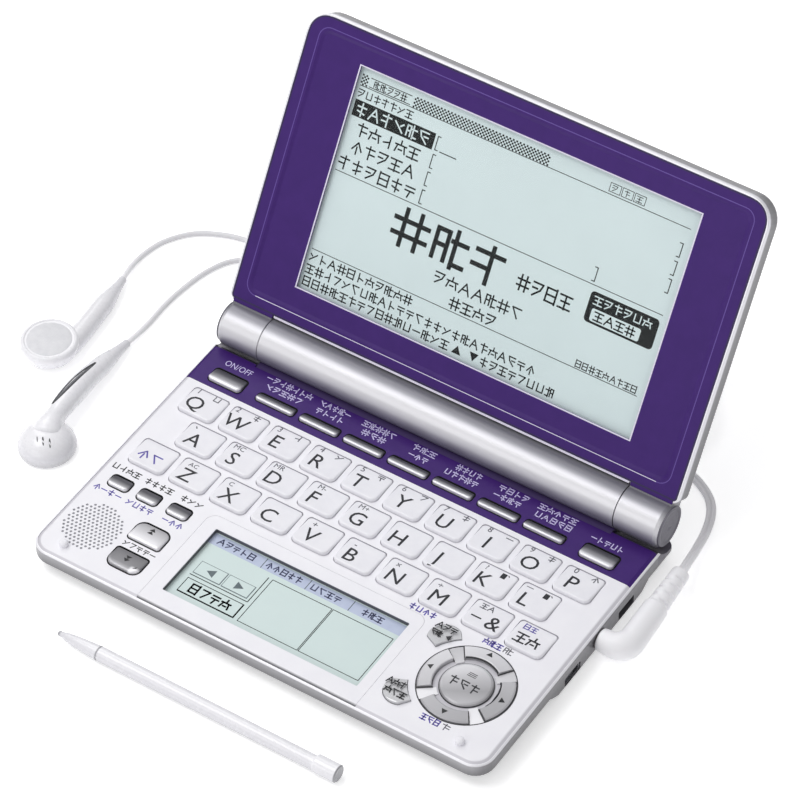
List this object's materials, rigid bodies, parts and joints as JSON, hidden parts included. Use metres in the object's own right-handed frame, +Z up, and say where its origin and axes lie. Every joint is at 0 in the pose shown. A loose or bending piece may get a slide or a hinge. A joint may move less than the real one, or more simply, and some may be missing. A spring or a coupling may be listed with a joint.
{
  "type": "electronic dictionary",
  "caption": "Open clamshell electronic dictionary with keyboard, touch pad window, lid display, loose stylus and plugged-in wired earphones.",
  "frame": {"origin": "on the resting plane, at the rear foot's face, straight under the middle of the hinge axis", "axes": "+X to the user's right along the hinge, +Y to the rear, +Z up"},
  "size_m": [0.2099, 0.1854, 0.0944],
  "materials": {
    "silver_case": "satin silver paint",
    "silver_lid": "satin silver paint",
    "white_deck": "satin pearl white",
    "purple": "satin deep violet",
    "display": "matt pale green liquid crystal",
    "board": "matt green",
    "grey_rubber": "matt",
    "black_plastic": "matt",
    "silver_tube": "satin silver",
    "cell": "gloss sleeve",
    "steel": "bright",
    "dark_steel": "dark",
    "dark_rubber": "matt",
    "white_rubber": "matt",
    "clear_window": "clear",
    "grey_cap": "satin",
    "white_key": "satin white",
    "silver_key": "satin silver",
    "stylus_white": "gloss white",
    "gold": "polished",
    "white_soft": "satin white",
    "white_hard": "gloss white"
  },
  "bodies": {
    "base": {"lower_case": "silver_case", "upper_case": "white_deck", "function_panel": "purple", "touch_frame": "white_deck", "touch_display": "display", "circuit_board": "board", "key_mat": "grey_rubber", "speaker": "black_plastic", "hinge_barrel": "silver_tube", "battery_cells": "cell", "earphone_jack": "black_plastic", "usb_port": "steel", "card_socket": "steel", "base_screws": "dark_steel", "rear_foot": "dark_rubber", "front_feet": "dark_rubber", "lid_stops": "white_rubber"},
    "lid": {"lid_back_cover": "silver_lid", "lid_bezel": "purple", "display_window": "clear_window", "main_display": "display", "hinge_knuckles": "silver_tube", "hinge_pins": "steel", "hinge_end_caps": "grey_cap"},
    "battery_door": {"battery_door": "silver_tube"},
    "stylus": {"stylus_nose": "stylus_white", "stylus_shaft": "stylus_white", "stylus_cap": "stylus_white"},
    "earphones": {"plug_pin": "gold", "plug_body": "white_soft", "twin_cord": "white_soft", "cord_coil": "white_soft", "left_lead": "white_soft", "right_lead": "white_soft", "left_bud": "white_hard", "right_bud": "white_hard"},
    "key_power": {"key_power": "silver_key"},
    "key_light": {"key_light": "silver_key"},
    "key_f1": {"key_f1": "silver_key"},
    "key_f2": {"key_f2": "silver_key"},
    "key_f3": {"key_f3": "silver_key"},
    "key_f4": {"key_f4": "silver_key"},
    "key_f5": {"key_f5": "silver_key"},
    "key_f6": {"key_f6": "silver_key"},
    "key_f7": {"key_f7": "silver_key"},
    "keys_row_1": {"keys_row_1": "white_key"},
    "keys_row_2": {"keys_row_2": "white_key"},
    "keys_row_3": {"keys_row_3": "white_key"},
    "key_small_1": {"key_small_1": "silver_key"},
    "key_small_2": {"key_small_2": "silver_key"},
    "key_small_3": {"key_small_3": "silver_key"},
    "key_page_up": {"key_page_up": "silver_key"},
    "key_page_down": {"key_page_down": "silver_key"},
    "key_up": {"key_up": "silver_key"},
    "key_down": {"key_down": "silver_key"},
    "key_left": {"key_left": "silver_key"},
    "key_right": {"key_right": "silver_key"},
    "key_enter": {"key_enter": "silver_key"},
    "key_voice": {"key_voice": "silver_key"},
    "key_back": {"key_back": "silver_key"}
  },
  "joints": [
    {"name": "lid_hinge", "type": "hinge", "parent": "base", "child": "lid", "pos_m": [0, 0, 0.0128], "axis": [-1, 0, 0], "range_deg": [-122.5, 27.5]},
    {"name": "battery_door_lift", "type": "slide", "parent": "base", "child": "battery_door", "axis": [0, 0.9397, -0.342], "range_m": [0, 0.012]},
    {"name": "stylus_lift", "type": "slide", "parent": "base", "child": "stylus", "axis": [0, 0, 1], "range_m": [0, 0.03]},
    {"name": "plug_pull", "type": "slide", "parent": "base", "child": "earphones", "axis": [1, 0, 0], "range_m": [0, 0.012]},
    {"name": "key_power_press", "type": "slide", "parent": "base", "child": "key_power", "axis": [0, 0, -1], "range_m": [0, 0.0006], "stiffness_N_per_m": 900, "springref_m": -0.0004},
    {"name": "key_light_press", "type": "slide", "parent": "base", "child": "key_light", "axis": [0, 0, -1], "range_m": [0, 0.0006], "stiffness_N_per_m": 900, "springref_m": -0.0004},
    {"name": "key_f1_press", "type": "slide", "parent": "base", "child": "key_f1", "axis": [0, 0, -1], "range_m": [0, 0.0006], "stiffness_N_per_m": 900, "springref_m": -0.0004},
    {"name": "key_f2_press", "type": "slide", "parent": "base", "child": "key_f2", "axis": [0, 0, -1], "range_m": [0, 0.0006], "stiffness_N_per_m": 900, "springref_m": -0.0004},
    {"name": "key_f3_press", "type": "slide", "parent": "base", "child": "key_f3", "axis": [0, 0, -1], "range_m": [0, 0.0006], "stiffness_N_per_m": 900, "springref_m": -0.0004},
    {"name": "key_f4_press", "type": "slide", "parent": "base", "child": "key_f4", "axis": [0, 0, -1], "range_m": [0, 0.0006], "stiffness_N_per_m": 900, "springref_m": -0.0004},
    {"name": "key_f5_press", "type": "slide", "parent": "base", "child": "key_f5", "axis": [0, 0, -1], "range_m": [0, 0.0006], "stiffness_N_per_m": 900, "springref_m": -0.0004},
    {"name": "key_f6_press", "type": "slide", "parent": "base", "child": "key_f6", "axis": [0, 0, -1], "range_m": [0, 0.0006], "stiffness_N_per_m": 900, "springref_m": -0.0004},
    {"name": "key_f7_press", "type": "slide", "parent": "base", "child": "key_f7", "axis": [0, 0, -1], "range_m": [0, 0.0006], "stiffness_N_per_m": 900, "springref_m": -0.0004},
    {"name": "keys_row_1_press", "type": "slide", "parent": "base", "child": "keys_row_1", "axis": [0, 0, -1], "range_m": [0, 0.0006], "stiffness_N_per_m": 900, "springref_m": -0.0004},
    {"name": "keys_row_2_press", "type": "slide", "parent": "base", "child": "keys_row_2", "axis": [0, 0, -1], "range_m": [0, 0.0006], "stiffness_N_per_m": 900, "springref_m": -0.0004},
    {"name": "keys_row_3_press", "type": "slide", "parent": "base", "child": "keys_row_3", "axis": [0, 0, -1], "range_m": [0, 0.0006], "stiffness_N_per_m": 900, "springref_m": -0.0004},
    {"name": "key_small_1_press", "type": "slide", "parent": "base", "child": "key_small_1", "axis": [0, 0, -1], "range_m": [0, 0.0006], "stiffness_N_per_m": 900, "springref_m": -0.0004},
    {"name": "key_small_2_press", "type": "slide", "parent": "base", "child": "key_small_2", "axis": [0, 0, -1], "range_m": [0, 0.0006], "stiffness_N_per_m": 900, "springref_m": -0.0004},
    {"name": "key_small_3_press", "type": "slide", "parent": "base", "child": "key_small_3", "axis": [0, 0, -1], "range_m": [0, 0.0006], "stiffness_N_per_m": 900, "springref_m": -0.0004},
    {"name": "key_page_up_press", "type": "slide", "parent": "base", "child": "key_page_up", "axis": [0, 0, -1], "range_m": [0, 0.0006], "stiffness_N_per_m": 900, "springref_m": -0.0004},
    {"name": "key_page_down_press", "type": "slide", "parent": "base", "child": "key_page_down", "axis": [0, 0, -1], "range_m": [0, 0.0006], "stiffness_N_per_m": 900, "springref_m": -0.0004},
    {"name": "key_up_press", "type": "slide", "parent": "base", "child": "key_up", "axis": [0, 0, -1], "range_m": [0, 0.0006], "stiffness_N_per_m": 900, "springref_m": -0.0004},
    {"name": "key_down_press", "type": "slide", "parent": "base", "child": "key_down", "axis": [0, 0, -1], "range_m": [0, 0.0006], "stiffness_N_per_m": 900, "springref_m": -0.0004},
    {"name": "key_left_press", "type": "slide", "parent": "base", "child": "key_left", "axis": [0, 0, -1], "range_m": [0, 0.0006], "stiffness_N_per_m": 900, "springref_m": -0.0004},
    {"name": "key_right_press", "type": "slide", "parent": "base", "child": "key_right", "axis": [0, 0, -1], "range_m": [0, 0.0006], "stiffness_N_per_m": 900, "springref_m": -0.0004},
    {"name": "key_enter_press", "type": "slide", "parent": "base", "child": "key_enter", "axis": [0, 0, -1], "range_m": [0, 0.0006], "stiffness_N_per_m": 900, "springref_m": -0.0004},
    {"name": "key_voice_press", "type": "slide", "parent": "base", "child": "key_voice", "axis": [0, 0, -1], "range_m": [0, 0.0006], "stiffness_N_per_m": 900, "springref_m": -0.0004},
    {"name": "key_back_press", "type": "slide", "parent": "base", "child": "key_back", "axis": [0, 0, -1], "range_m": [0, 0.0006], "stiffness_N_per_m": 900, "springref_m": -0.0004}
  ]
}
